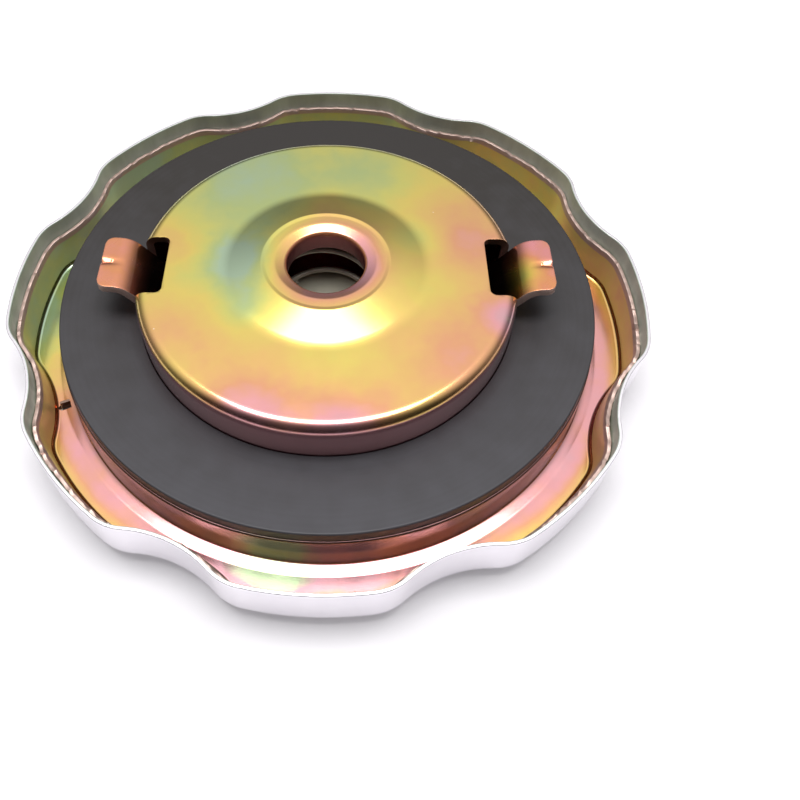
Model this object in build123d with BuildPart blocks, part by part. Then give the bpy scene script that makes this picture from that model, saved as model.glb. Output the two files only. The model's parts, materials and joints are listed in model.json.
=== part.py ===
from build123d import *
import os
from math import cos, radians, sin

os.makedirs("parts", exist_ok=True)

# Fuel filler cap seen from its inner side: the outer face lies on z = 0 and the neck side points to +Z.
# X runs along the two arms of the locking strip. All sizes in mm.

# Skirt outline: eight lobes on a circle, parted by eight round scallops.
lobe_count = 8
scallop_depth = 2.05
scallop_radius = 14.0
corner_radius = 6.0
lobe_phase_deg = 88.4

# Outer shell, sheet steel.
shell_thickness = 0.6
shell_height = 8.3
shell_edge_radius = 2.6

# Inner plate, sheet steel, nested in the shell.
plate_thickness = 0.8
flange_clearance = 0.12
flange_setback = 2.25
ring_width = 5.8
seat_draft = 0.2
ring_lap = 0.6
seat_edge_radius = 0.5
seat_foot_radius = 0.5
recess_floor = 2.45
recess_clearance = 0.05

# Gasket, rubber.
gasket_width = 9.4
gasket_inset = 0.4
gasket_thickness = 1.5
gasket_face = 8.05
gasket_dish = 1.1
gasket_seat_gap = 0.02
gasket_edge_radius = 0.2

# Retaining cup, sheet steel.
cup_radius = 22.6
cup_thickness = 0.9
cup_top = 11.95
cup_edge_radius = 1.5
crest_radius = 7.6
crest_rise = 1.05
crest_foot_radius = 12.0
hole_radius = 4.6
hole_edge_drop = 0.15
collar_depth = 2.95
collar_roll = 1.5
crest_bend = 1.2
foot_bend = 5.0
notch_width = 8.8
notch_depth = 3.7
notch_floor = 7.8
notch_corner_radius = 0.8

# Locking strip, sheet steel.
strip_thickness = 1.0
strip_width = 7.8
pad_radius = 7.2
arm_foot_inset = 5.6
arm_knee_reach = 1.1
arm_knee_height = 12.25
arm_tip_length = 2.8
arm_tip_rise = 0.2
arm_bend = 2.4
arm_corner_radius = 1.1
crease_length = 2.6
crease_depth = 0.35
crease_width = 0.9

# Coil spring, round wire.
spring_radius = 6.1
spring_wire = 0.7
spring_active_turns = 1.6
spring_start_deg = 130.0
spring_play = 0.03
spring_steps = 54

# Vent slit in the plate's flat ring.
vent_angle_deg = 203.4
vent_gap = 0.6
vent_length = 1.6
vent_width = 0.8
vent_lip_height = 0.35
vent_lip_width = 0.6

# Heights and radii tied to the sizes above.
ring_top = shell_thickness + plate_thickness
flange_top = shell_height - flange_setback
plate_edge_radius = shell_edge_radius - shell_thickness - flange_clearance
gasket_radius = cup_radius + gasket_width
seat_radius = gasket_radius + gasket_inset
lobe_radius = seat_radius + ring_width
seat_top = gasket_face - gasket_thickness - gasket_seat_gap
bore_radius = cup_radius + recess_clearance
crest_top = cup_top + crest_rise
collar_end = crest_top - collar_depth
pad_top = recess_floor + strip_thickness
pad_middle = recess_floor + strip_thickness / 2
arm_knee_middle = arm_knee_height - strip_thickness / 2
arm_tip_top = arm_knee_height + arm_tip_rise
crease_flank = ((crease_width / 2) ** 2 + crease_depth ** 2) ** 0.5
arm_foot = cup_radius - arm_foot_inset
arm_knee = cup_radius + arm_knee_reach
strip_reach = arm_knee + arm_tip_length
notch_root = cup_radius - notch_depth
notch_run = notch_depth + 2 * notch_corner_radius
notch_middle = notch_root + notch_run / 2
spring_low = pad_top + spring_wire / 2
spring_high = crest_top - hole_edge_drop - cup_thickness - spring_wire / 2
closed_rise = spring_wire + spring_play
active_pitch = (spring_high - spring_low - 2 * closed_rise) / spring_active_turns
vent_inner = seat_radius + vent_gap
vent_outer = vent_inner + vent_length
vent_plane = Plane(
    origin=(vent_inner * cos(radians(vent_angle_deg)), vent_inner * sin(radians(vent_angle_deg)), ring_top),
    x_dir=(-sin(radians(vent_angle_deg)), cos(radians(vent_angle_deg)), 0),
    z_dir=(cos(radians(vent_angle_deg)), sin(radians(vent_angle_deg)), 0),
)

# Outline shared by the shell and the plate, drawn flat.
with BuildSketch() as skirt_outline:
    Circle(lobe_radius)
    with PolarLocations(
        lobe_radius - scallop_depth + scallop_radius,
        lobe_count,
        start_angle=lobe_phase_deg + 180 / lobe_count,
    ):
        Circle(scallop_radius, mode=Mode.SUBTRACT)
    fillet(skirt_outline.vertices(), radius=corner_radius)

# Grip shell: a lobed pan open towards the neck, with a soft edge on its outer face.
with BuildPart() as outer_shell:
    with BuildSketch(Plane.XY):
        add(skirt_outline.sketch)
    extrude(amount=shell_height)
    fillet(outer_shell.faces().sort_by(Axis.Z)[0].edges(), radius=shell_edge_radius)
    offset(amount=-shell_thickness, openings=outer_shell.faces().sort_by(Axis.Z)[-1])
outer_shell.part.label = "outer_shell"
export_step(outer_shell.part, "parts/outer_shell.step")

# Inner plate: a second lobed pan inside the first, then the turned seat and recess in its middle.
with BuildPart() as inner_plate:
    with BuildSketch(Plane.XY.offset(shell_thickness)):
        add(skirt_outline.sketch)
        offset(amount=-(shell_thickness + flange_clearance))
    extrude(amount=flange_top - shell_thickness)
    fillet(inner_plate.faces().sort_by(Axis.Z)[0].edges(), radius=plate_edge_radius)
    offset(amount=-plate_thickness, openings=inner_plate.faces().sort_by(Axis.Z)[-1])
    with BuildSketch(Plane.XY):
        Circle(seat_radius)
    extrude(amount=shell_height, mode=Mode.SUBTRACT)
    with BuildSketch(Plane.XZ) as seat_profile:
        with BuildLine():
            Polyline(
                (0, recess_floor),
                (bore_radius, recess_floor),
                (bore_radius, seat_top - gasket_dish),
                (seat_radius - seat_draft, seat_top),
                (seat_radius, ring_top),
                (seat_radius + ring_lap, ring_top),
                (seat_radius + ring_lap, shell_thickness),
                (seat_radius - plate_thickness, shell_thickness),
                (seat_radius - seat_draft - plate_thickness, seat_top - plate_thickness),
                (bore_radius + plate_thickness, seat_top - gasket_dish - plate_thickness),
                (bore_radius + plate_thickness, recess_floor - plate_thickness),
                (0, recess_floor - plate_thickness),
                close=True,
            )
        make_face()
        fillet(seat_profile.vertices().sort_by(Axis.Y)[-1], radius=seat_edge_radius)
        fillet(seat_profile.vertices().sort_by_distance((seat_radius, ring_top))[0], radius=seat_foot_radius)
    revolve(axis=Axis.Z)
    # Lanced vent slit, pointed at its outer end, with a low raised lip along one side.
    with BuildSketch(Plane.XY.offset(shell_thickness).rotated((0, 0, vent_angle_deg))):
        with BuildLine():
            Polyline(
                (vent_inner, -vent_width / 2),
                (vent_outer - vent_width / 2, -vent_width / 2),
                (vent_outer, 0),
                (vent_outer - vent_width / 2, vent_width / 2),
                (vent_inner, vent_width / 2),
                close=True,
            )
        make_face()
    extrude(amount=plate_thickness, mode=Mode.SUBTRACT)
    with BuildSketch(vent_plane):
        with BuildLine():
            Polyline(
                (-vent_width / 2, -plate_thickness / 2),
                (-vent_width / 2, vent_lip_height),
                (-vent_width / 2 - vent_lip_width, 0),
                (-vent_width / 2 - vent_lip_width, -plate_thickness / 2),
                close=True,
            )
        make_face()
    extrude(amount=vent_outer - vent_inner - vent_width / 2)
inner_plate.part.label = "inner_plate"
export_step(inner_plate.part, "parts/inner_plate.step")

# Gasket: ring of even thickness that follows the seat's slight dish.
with BuildPart() as gasket:
    with BuildSketch(Plane.XZ) as gasket_profile:
        with BuildLine():
            Polyline(
                (bore_radius, gasket_face - gasket_dish),
                (gasket_radius, gasket_face),
                (gasket_radius, gasket_face - gasket_thickness),
                (bore_radius, gasket_face - gasket_dish - gasket_thickness),
                close=True,
            )
        make_face()
        fillet(gasket_profile.vertices().sort_by(Axis.Y)[-1], radius=gasket_edge_radius)
    revolve(axis=Axis.Z)
gasket.part.label = "gasket"
export_step(gasket.part, "parts/gasket.step")

# Retaining cup: drawn cup with a raised crest rolled down into the centre hole, then the two notches.
with BuildPart() as retaining_cup:
    with BuildSketch(Plane.XZ) as cup_profile:
        with BuildLine():
            Polyline(
                (hole_radius, collar_end),
                (hole_radius, crest_top - hole_edge_drop),
                (crest_radius, crest_top),
                (crest_foot_radius, cup_top),
                (cup_radius, cup_top),
                (cup_radius, recess_floor),
                (cup_radius - cup_thickness, recess_floor),
                (cup_radius - cup_thickness, cup_top - cup_thickness),
                (crest_foot_radius, cup_top - cup_thickness),
                (crest_radius, crest_top - cup_thickness),
                (hole_radius + cup_thickness, crest_top - hole_edge_drop - cup_thickness),
                (hole_radius + cup_thickness, collar_end),
                close=True,
            )
        make_face()
        for corner, size in (
            ((hole_radius, crest_top - hole_edge_drop), collar_roll),
            ((hole_radius + cup_thickness, crest_top - hole_edge_drop - cup_thickness), collar_roll - cup_thickness),
            ((crest_radius, crest_top), crest_bend),
            ((crest_radius, crest_top - cup_thickness), crest_bend),
            ((crest_foot_radius, cup_top), foot_bend),
            ((crest_foot_radius, cup_top - cup_thickness), foot_bend),
            ((cup_radius, cup_top), cup_edge_radius),
            ((cup_radius - cup_thickness, cup_top - cup_thickness), cup_edge_radius - cup_thickness),
        ):
            fillet(cup_profile.vertices().sort_by_distance(corner)[0], radius=size)
    revolve(axis=Axis.Z)
    # Two notches let the arms out: they cut the rounded edge, a strip of the top and the upper wall.
    with BuildSketch(Plane.XY.offset(notch_floor)):
        with Locations((notch_middle, 0), (-notch_middle, 0)):
            RectangleRounded(notch_run, notch_width, notch_corner_radius)
    extrude(amount=crest_top - notch_floor, mode=Mode.SUBTRACT)
retaining_cup.part.label = "retaining_cup"
export_step(retaining_cup.part, "parts/retaining_cup.step")

# Locking strip: one bent strip with a round pad in the middle and a crease pressed in each arm's tip.
with BuildPart() as locking_strip:
    with BuildSketch(Plane.XZ):
        with BuildLine():
            FilletPolyline(
                (-strip_reach, arm_knee_middle + arm_tip_rise),
                (-arm_knee, arm_knee_middle),
                (-arm_foot, pad_middle),
                (arm_foot, pad_middle),
                (arm_knee, arm_knee_middle),
                (strip_reach, arm_knee_middle + arm_tip_rise),
                radius=arm_bend,
            )
        trace(line_width=strip_thickness)
    extrude(amount=strip_width / 2, both=True)
    fillet(
        locking_strip.edges().filter_by(Axis.Z, tolerance=10).group_by(SortBy.DISTANCE)[-1],
        radius=arm_corner_radius,
    )
    with BuildSketch(Plane.XY.offset(recess_floor)):
        Circle(pad_radius)
    extrude(amount=strip_thickness)
    for side in (-1, 1):
        with BuildSketch(Plane.YZ.offset(side * (strip_reach + 0.1))):
            with Locations((0, arm_tip_top)):
                Triangle(a=crease_width, b=crease_flank, c=crease_flank, rotation=180)
        with BuildSketch(Plane.YZ.offset(side * (strip_reach - crease_length))):
            with Locations((0, arm_knee_height + crease_depth)):
                Triangle(a=crease_width, b=crease_flank, c=crease_flank, rotation=180)
        loft(mode=Mode.SUBTRACT)
locking_strip.part.label = "locking_strip"
export_step(locking_strip.part, "parts/locking_strip.step")

# Coil spring: closed end turns and a wide middle, drawn through points on a stepped helix.
with BuildPart() as coil_spring:
    with BuildLine() as spring_path:
        Spline(
            [
                (
                    spring_radius * cos(radians(spring_start_deg + 360 * turn)),
                    spring_radius * sin(radians(spring_start_deg + 360 * turn)),
                    spring_low
                    + closed_rise * min(turn, 1)
                    + active_pitch * min(max(turn - 1, 0), spring_active_turns)
                    + closed_rise * max(turn - 1 - spring_active_turns, 0),
                )
                for turn in [
                    step * (2 + spring_active_turns) / spring_steps for step in range(spring_steps + 1)
                ]
            ]
        )
    with BuildSketch(Plane(origin=spring_path.line @ 0, z_dir=spring_path.line % 0)):
        Circle(spring_wire / 2)
    sweep(path=spring_path.line)
coil_spring.part.label = "coil_spring"
export_step(coil_spring.part, "parts/coil_spring.step")
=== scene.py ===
"""Dressed model of a bayonet fuel filler cap, seen from its neck side.

The cap is a lobed steel grip shell with a pressed inner plate, a rubber ring, a retaining cup, a sprung
locking strip and a coil spring. Classes hold their sizes in millimetres, and meshes are made in metres.
"""

import json
import logging
import math
from dataclasses import dataclass, field
from enum import Enum
from functools import reduce
from typing import Callable, Mapping, Sequence

import bmesh
import bpy
from mathutils import Matrix, Vector


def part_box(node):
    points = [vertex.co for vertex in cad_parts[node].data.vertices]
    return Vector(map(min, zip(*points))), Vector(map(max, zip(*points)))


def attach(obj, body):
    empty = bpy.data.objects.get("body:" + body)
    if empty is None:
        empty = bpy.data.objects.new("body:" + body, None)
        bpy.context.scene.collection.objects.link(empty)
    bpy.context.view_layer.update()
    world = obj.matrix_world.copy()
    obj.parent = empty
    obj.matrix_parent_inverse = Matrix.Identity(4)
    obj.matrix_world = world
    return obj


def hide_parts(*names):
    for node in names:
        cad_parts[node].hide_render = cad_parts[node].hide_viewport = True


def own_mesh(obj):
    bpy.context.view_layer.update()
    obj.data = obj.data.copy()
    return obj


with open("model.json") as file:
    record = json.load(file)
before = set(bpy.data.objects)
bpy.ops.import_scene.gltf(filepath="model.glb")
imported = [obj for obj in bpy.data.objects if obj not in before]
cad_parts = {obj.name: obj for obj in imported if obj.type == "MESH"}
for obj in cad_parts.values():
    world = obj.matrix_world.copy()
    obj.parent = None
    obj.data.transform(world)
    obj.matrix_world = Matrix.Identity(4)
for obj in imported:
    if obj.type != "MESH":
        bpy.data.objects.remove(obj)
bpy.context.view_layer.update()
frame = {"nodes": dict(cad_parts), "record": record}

MM = 0.001
SHEARED_ROUND = 0.12  # round of a sheared edge, in millimetres
ARC_HOLD = 0.04  # distance from an arc to the point that holds it, in millimetres
CREASE = 38.0  # angle over which an edge stays hard, in degrees
LOG = logging.getLogger("filler_cap")
Colour = tuple[float, float, float, float]
Material, Mesh, Object = bpy.types.Material, bpy.types.Mesh, bpy.types.Object
Socket, Tree = bpy.types.NodeSocket, bpy.types.NodeTree


# ---------------------------------------------------------------------------------------------------
# Formulas and tools shared by the node trees
# ---------------------------------------------------------------------------------------------------


class Term:
    """A number in a node tree that adds, multiplies and compares like a plain one."""

    def __init__(self, tree: Tree, socket: Socket) -> None:
        """Keep the tree and the output socket that carries the number."""
        self.tree = tree
        self.socket = socket

    def step(self, operation: str, *others: "Term | float") -> "Term":
        """Place one Math node with this term first.

        Args:
            operation: The Math node's operation.
            others: The terms or plain numbers on its other inputs.

        Returns:
            The node's result.
        """
        node = self.tree.nodes.new("ShaderNodeMath")
        node.operation = operation
        for socket, value in zip(node.inputs, (self, *others)):
            plug(socket, value)
        return Term(self.tree, node.outputs[0])

    def __add__(self, other: "Term | float") -> "Term":
        """Sum of both."""
        return self.step("ADD", other)

    __radd__ = __add__

    def __sub__(self, other: "Term | float") -> "Term":
        """This less the other."""
        return self.step("SUBTRACT", other)

    def __rsub__(self, other: float) -> "Term":
        """A plain number less this."""
        return self.step("MULTIPLY", -1.0).step("ADD", other)

    def __mul__(self, other: "Term | float") -> "Term":
        """Product of both."""
        return self.step("MULTIPLY", other)

    __rmul__ = __mul__

    def __truediv__(self, other: "Term | float") -> "Term":
        """This over the other."""
        return self.step("DIVIDE", other)

    def inverse(self) -> "Term":
        """One over this."""
        return self.step("POWER", -1.0)

    def root(self) -> "Term":
        """Square root, of zero where the number is negative."""
        return self.step("MAXIMUM", 0.0).step("SQRT")

    def fading(self) -> "Term":
        """One at zero, which fades as the number grows."""
        return (self * -1.0).step("EXPONENT")

    def sin(self) -> "Term":
        """Sine of an angle in radians."""
        return self.step("SINE")

    def cos(self) -> "Term":
        """Cosine of an angle in radians."""
        return self.step("COSINE")

    def below(self, other: "Term | float") -> "Term":
        """One where this is less than the other, else zero."""
        return self.step("LESS_THAN", other)


def plug(socket: Socket, value: object) -> None:
    """Link a term or an output to an input, or set a plain value on it.

    Args:
        socket: The input.
        value: The term, the output socket or the plain value.
    """
    value = value.socket if isinstance(value, Term) else value
    if isinstance(value, Socket):
        socket.id_data.links.new(value, socket)
    else:
        socket.default_value = value


def vector_of(tree: Tree, *numbers: Term | float) -> Socket:
    """Join three numbers into a vector.

    Args:
        tree: The node tree.
        numbers: The three numbers.

    Returns:
        The vector's output socket.
    """
    node = tree.nodes.new("ShaderNodeCombineXYZ")
    for socket, value in zip(node.inputs, numbers):
        plug(socket, value)
    return node.outputs[0]


def parts_of(tree: Tree, vector: Socket) -> tuple[Term, Term, Term]:
    """Split a vector into its three numbers.

    Args:
        tree: The node tree.
        vector: The vector's output socket.

    Returns:
        The x, y and z terms.
    """
    node = tree.nodes.new("ShaderNodeSeparateXYZ")
    plug(node.inputs[0], vector)
    return tuple(Term(tree, socket) for socket in node.outputs)


def inputs_of(tree: Tree, sizes: Mapping[str, float | int | str]) -> dict[str, Term]:
    """Give a node tree its named inputs.

    Args:
        tree: The node tree.
        sizes: Default of each input by name, or its socket type where it has no default.

    Returns:
        The inputs by name.
    """
    for name, value in sizes.items():
        kind = value if isinstance(value, str) else "NodeSocketInt" if isinstance(value, int) else "NodeSocketFloat"
        socket = tree.interface.new_socket(name=name, in_out="INPUT", socket_type=kind)
        if not isinstance(value, str):
            socket.default_value = value
    node = tree.nodes.new("NodeGroupInput")
    return {name: Term(tree, node.outputs[name]) for name in sizes}


def ramp_of(tree: Tree, value: Term, stops: Sequence[tuple[float, Colour]]) -> Socket:
    """Colour ramp over a number.

    Args:
        tree: The shader tree.
        value: The number, from 0 to 1.
        stops: Place and colour of each stop.

    Returns:
        The colour's output socket.
    """
    node = tree.nodes.new("ShaderNodeValToRGB")
    plug(node.inputs[0], value)
    elements = node.color_ramp.elements
    while len(elements) < len(stops):
        elements.new(0.5)
    for element, (place, colour) in zip(elements, stops):
        element.position = place
        element.color = colour
    return node.outputs[0]


def blend_of(tree: Tree, share: Term, first: Socket | Colour, second: Socket | Colour) -> Socket:
    """Mix two colours.

    Args:
        tree: The shader tree.
        share: How much of the second colour shows.
        first: The colour beneath.
        second: The colour above.

    Returns:
        The mixed colour's output socket.
    """
    node = tree.nodes.new("ShaderNodeMix")
    node.data_type = "RGBA"
    for index, value in ((0, share), (6, first), (7, second)):
        plug(node.inputs[index], value)
    return node.outputs[2]


def noise_of(tree: Tree, place: Socket, scale: Term | float, seed: Term | float, detail: float) -> Term:
    """Soft noise from 0 to 1 with a fixed seed.

    Args:
        tree: The node tree.
        place: Where the noise is read.
        scale: Waves per unit.
        seed: Which pattern.
        detail: How many finer layers are added.

    Returns:
        The noise.
    """
    node = tree.nodes.new("ShaderNodeTexNoise")
    node.noise_dimensions = "4D"
    for name, value in (("Vector", place), ("Detail", detail), ("Scale", scale), ("W", seed)):
        plug(node.inputs[name], value)
    return Term(tree, node.outputs[0])


# ---------------------------------------------------------------------------------------------------
# Sections of pressed and moulded sheet
# ---------------------------------------------------------------------------------------------------


@dataclass(frozen=True)
class Corner:
    """One corner of a section.

    Attributes:
        across: Inset from the lobed outline, or the radius where the corner is turned.
        height: Height over the outer face.
        radius: Radius of the bend at the corner.
        turned: 1 where the corner runs round the axis, 0 where it follows the lobes.
        edge: 1 where a sheared edge wavers, else 0.
    """

    across: float
    height: float
    radius: float = 0.0
    turned: float = 0.0
    edge: float = 0.0


def turned(*rows: tuple[float, ...]) -> list[Corner]:
    """Corners that run round the axis, each from its radius, height and bend."""
    return [Corner(*row, turned=1) for row in rows]


def bent(corners: Sequence[Corner], closed: bool = False, turn: float = 8.0, pitch: float = 0.0) -> list[Corner]:
    """Round the corners of a section with arcs, and hold each arc between two close neighbours.

    Args:
        corners: The section's corners in order.
        closed: Whether the section closes on itself.
        turn: Largest angle between two steps of an arc, in degrees.
        pitch: Longest straight step, or 0 for any length.

    Returns:
        The section's points, with the first repeated at the end where it is closed.
    """
    line: list[Corner] = []
    count = len(corners)
    for index, corner in enumerate(corners):
        if corner.radius <= 0 or (not closed and index in (0, count - 1)):
            line.append(corner)
            continue
        here = Vector((corner.across, corner.height))
        before, after = corners[index - 1], corners[(index + 1) % count]
        back = (Vector((before.across, before.height)) - here).normalized()
        ahead = (Vector((after.across, after.height)) - here).normalized()
        half = back.angle(ahead) / 2
        reach = corner.radius / math.tan(half)
        hold = reach + min(ARC_HOLD, reach / 4)
        centre = here + (back + ahead).normalized() * corner.radius / math.sin(half)
        spoke, last = here + back * reach - centre, here + ahead * reach - centre
        steps = max(2, math.ceil(math.degrees(math.pi - 2 * half) / turn))
        arc = [centre + spoke.slerp(last, step / steps) * corner.radius for step in range(steps + 1)]
        arc = [here + back * hold, *arc, here + ahead * hold]
        line += [Corner(point.x, point.y, 0.0, corner.turned, corner.edge) for point in arc]
    line = line + line[:1] if closed else line
    if pitch <= 0:
        return line
    fine = line[:1]
    for start, end in zip(line, line[1:]):
        steps = max(1, math.ceil(math.hypot(end.across - start.across, end.height - start.height) / pitch))
        for step in range(1, steps + 1):
            share = step / steps
            across = start.across + (end.across - start.across) * share
            height = start.height + (end.height - start.height) * share
            fine.append(Corner(across, height, 0.0, end.turned, end.edge))
    return fine


def placed(name: str, data: bpy.types.ID) -> Object:
    """New object in the scene around a mesh, a lamp or a camera.

    Args:
        name: Name of the object.
        data: What it holds.

    Returns:
        The object.
    """
    obj = bpy.data.objects.new(name, data)
    bpy.context.scene.collection.objects.link(obj)
    return obj


def section_object(name: str, line: Sequence[Corner]) -> Object:
    """Lay a section out as a line of points with its attributes.

    Args:
        name: Name of the object.
        line: The section's points in order.

    Returns:
        The object, linked to the scene.
    """
    mesh = bpy.data.meshes.new(name)
    mesh.from_pydata([(p.across, 0.0, p.height) for p in line], [(i, i + 1) for i in range(len(line) - 1)], [])
    for key in ("turned", "edge"):
        layer = mesh.attributes.new(key, "FLOAT", "POINT")
        layer.data.foreach_set("value", [getattr(p, key) for p in line])
    return placed(name, mesh)


@dataclass(frozen=True)
class LobedOutline:
    """Round outline with shallow scallops between its lobes, as the skirt is pressed.

    Attributes:
        lobes: How many lobes there are.
        lobe_radius: Radius over the lobes.
        scallop_depth: How far a scallop cuts in from the lobes' circle.
        scallop_radius: Radius of a scallop.
        corner_radius: Radius of the soft corner between lobe and scallop.
        first_lobe: Direction of one lobe, in degrees.
    """

    lobes: int = 8
    lobe_radius: float = 38.2
    scallop_depth: float = 2.05
    scallop_radius: float = 14.0
    corner_radius: float = 6.0
    first_lobe: float = 88.4

    def sizes(self) -> dict[str, float]:
        """Sizes of the outline for the sheet tree.

        Returns:
            The sizes by the names of the tree's inputs, with underscores for spaces.
        """
        return {
            "Lobes": self.lobes,
            "Lobe_Radius": self.lobe_radius,
            "Scallop_Depth": self.scallop_depth,
            "Scallop_Radius": self.scallop_radius,
            "Corner_Radius": self.corner_radius,
            "First_Lobe": math.radians(self.first_lobe),
        }


class PressedSheetTree:
    """Node tree that carries a section round a lobed outline, round the axis, or from one to the other.

    Attributes:
        INPUTS: Default or socket type of each named input.
        MERGE: Distance under which points merge, in millimetres.
    """

    INPUTS = {
        "Section": "NodeSocketGeometry",
        "Steps": 720,
        "Lobes": 8,
        "Lobe Radius": 38.2,
        "Scallop Depth": 2.05,
        "Scallop Radius": 14.0,
        "Corner Radius": 6.0,
        "First Lobe": 0.0,
        "Edge Waver": 0.0,
        "Seed": 1.0,
        "Finish": "NodeSocketMaterial",
    }
    MERGE = 0.002

    def __init__(self) -> None:
        """Build the tree once."""
        self.tree = bpy.data.node_groups.new("pressed_sheet", "GeometryNodeTree")
        self.tree.interface.new_socket(name="Piece", in_out="OUTPUT", socket_type="NodeSocketGeometry")
        self.given = inputs_of(self.tree, self.INPUTS)
        items = self.tree.interface.items_tree
        self.identifiers = {item.name: item.identifier for item in items if item.in_out == "INPUT"}
        self._build()

    def _placed(self, kind: str, **values: object) -> bpy.types.Node:
        """Place a geometry node and fill its inputs.

        Args:
            kind: The node's type, without its first words.
            values: Named inputs, with underscores for spaces.

        Returns:
            The node.
        """
        node = self.tree.nodes.new(f"GeometryNode{kind}")
        for name, value in values.items():
            plug(node.inputs[name.replace("_", " ")], value)
        return node

    def _sampled(self, index: Term, source: Socket, kind: str = "FLOAT") -> Term:
        """Read a value of the section at one of its points.

        Args:
            index: The point's number.
            source: The field to read.
            kind: Its data type.

        Returns:
            The value read.
        """
        node = self._placed("SampleIndex")
        node.data_type = kind
        for name, value in (("Geometry", self.given["Section"]), ("Value", source), ("Index", index)):
            plug(node.inputs[name], value)
        return Term(self.tree, node.outputs["Value"])

    def _attribute(self, name: str) -> Socket:
        """Field of a named attribute of the section."""
        return self._placed("InputNamedAttribute", Name=name).outputs[0]

    def _outline(self, angle: Term, inset: Term) -> tuple[Term, Term]:
        """Point of the lobed outline at an angle, set in along its own normal.

        Args:
            angle: Direction of the point.
            inset: How far it is set in.

        Returns:
            Its x and y.
        """
        lobe, corner, scallop = (self.given[f"{name} Radius"] for name in ("Lobe", "Corner", "Scallop"))
        pitch = self.given["Lobes"].inverse() * (2 * math.pi)
        far = lobe - self.given["Scallop Depth"] + scallop
        near = lobe - corner
        reach = scallop + corner
        bend_cos = (near * near + far * far - reach * reach) / (near * far * 2.0)
        bend = bend_cos.step("ARCCOSINE")
        bend_x, bend_y = near * bend_cos, near * bend.sin()
        share = scallop / reach
        touch_x, touch_y = far + (bend_x - far) * share, bend_y * share
        touch = touch_y.step("ARCTAN2", touch_x)
        local = (angle - self.given["First Lobe"]).step("FLOORED_MODULO", pitch) - pitch * 0.5
        middle = angle - local
        side = local.step("SIGN")
        spread = local.step("ABSOLUTE")
        in_scallop = spread.below(touch)
        in_corner = spread.below(bend) * (1.0 - in_scallop)
        in_lobe = 1.0 - in_scallop - in_corner
        across = far * spread.sin()
        on_scallop = far * spread.cos() - (scallop * scallop - across * across).root()
        lean = spread - bend
        off = near * lean.sin()
        on_corner = near * lean.cos() + (corner * corner - off * off).root()
        reach_out = in_scallop * on_scallop + in_corner * on_corner + in_lobe * lobe
        x, y = reach_out * spread.cos(), reach_out * spread.sin()
        out_x = in_scallop * (far - x) / scallop + in_corner * (x - bend_x) / corner + in_lobe * spread.cos()
        out_y = in_scallop * (0.0 - y) / scallop + in_corner * (y - bend_y) / corner + in_lobe * spread.sin()
        x, y = x - out_x * inset, (y - out_y * inset) * side
        return x * middle.cos() - y * middle.sin(), x * middle.sin() + y * middle.cos()

    def _build(self) -> None:
        """Place the nodes: grid, outline, sheared edge, merge and finish."""
        tree, steps, seed = self.tree, self.given["Steps"], self.given["Seed"]
        size = self._placed("AttributeDomainSize", Geometry=self.given["Section"])
        count = Term(tree, size.outputs["Point Count"])
        grid = self._placed("MeshGrid", Vertices_X=steps + 1.0, Vertices_Y=count)
        index = Term(tree, self._placed("InputIndex").outputs[0])
        station = ((index + 0.5) / count).step("FLOOR")
        along = index - station * count
        angle = station / steps * (2 * math.pi)
        place = self._sampled(along, self._placed("InputPosition").outputs[0], "FLOAT_VECTOR")
        round_share = self._sampled(along, self._attribute("turned"))
        edge = self._sampled(along, self._attribute("edge"))
        across, _, height = parts_of(tree, place.socket)
        ring = vector_of(tree, angle.cos(), angle.sin(), 0.0)
        coarse = noise_of(tree, ring, 9.0, seed, 1.0) - 0.5
        fine = noise_of(tree, ring, 70.0, seed + 5.0, 2.0) - 0.5
        waver = (coarse * 1.2 + fine * 1.3) * self.given["Edge Waver"] * edge
        lobed_x, lobed_y = self._outline(angle, across + waver * 0.5)
        x = lobed_x * (1.0 - round_share) + across * angle.cos() * round_share
        y = lobed_y * (1.0 - round_share) + across * angle.sin() * round_share
        stage = grid.outputs["Mesh"]
        for kind, values in (
            ("SetPosition", {"Position": vector_of(tree, x, y, height + waver)}),
            ("MergeByDistance", {"Distance": self.MERGE}),
            ("Transform", {"Scale": (MM, MM, MM)}),
            ("SetShadeSmooth", {}),
            ("RealizeInstances", {}),
            ("SetMaterial", {"Material": self.given["Finish"]}),
        ):
            stage = self._placed(kind, Geometry=stage, **values).outputs[0]
        plug(tree.nodes.new("NodeGroupOutput").inputs[0], stage)

    def sweep(self, name: str, line: Sequence[Corner], **sizes: object) -> Object:
        """Sweep a section and keep the result as a plain mesh.

        Args:
            name: Name of the piece.
            line: The section's points in order.
            sizes: Named inputs of the tree, with underscores for spaces.

        Returns:
            The piece.
        """
        obj = section_object(name, line)
        modifier = obj.modifiers.new("pressed_sheet", "NODES")
        modifier.node_group = self.tree
        for label, value in sizes.items():
            modifier[self.identifiers[label.replace("_", " ")]] = value
        settle(obj)
        obj.data.materials.clear()
        obj.data.materials.append(sizes["Finish"])
        obj.data.polygons.foreach_set("material_index", [0] * len(obj.data.polygons))
        return obj


def modify(obj: Object, kind: str, **values: object) -> None:
    """Add a modifier and set its values.

    Args:
        obj: The object.
        kind: The modifier's type.
        values: The modifier's values by name.
    """
    modifier = obj.modifiers.new(kind.lower(), kind)
    for name, value in values.items():
        setattr(modifier, name, value)


def settle(obj: Object) -> None:
    """Turn an object's live modifiers into its plain mesh.

    Args:
        obj: The object with its modifiers.
    """
    graph = bpy.context.evaluated_depsgraph_get()
    mesh = bpy.data.meshes.new_from_object(obj.evaluated_get(graph), preserve_all_data_layers=True, depsgraph=graph)
    obj.modifiers.clear()
    old = obj.data
    obj.data = mesh
    mesh.name = obj.name
    bpy.data.meshes.remove(old)


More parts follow.
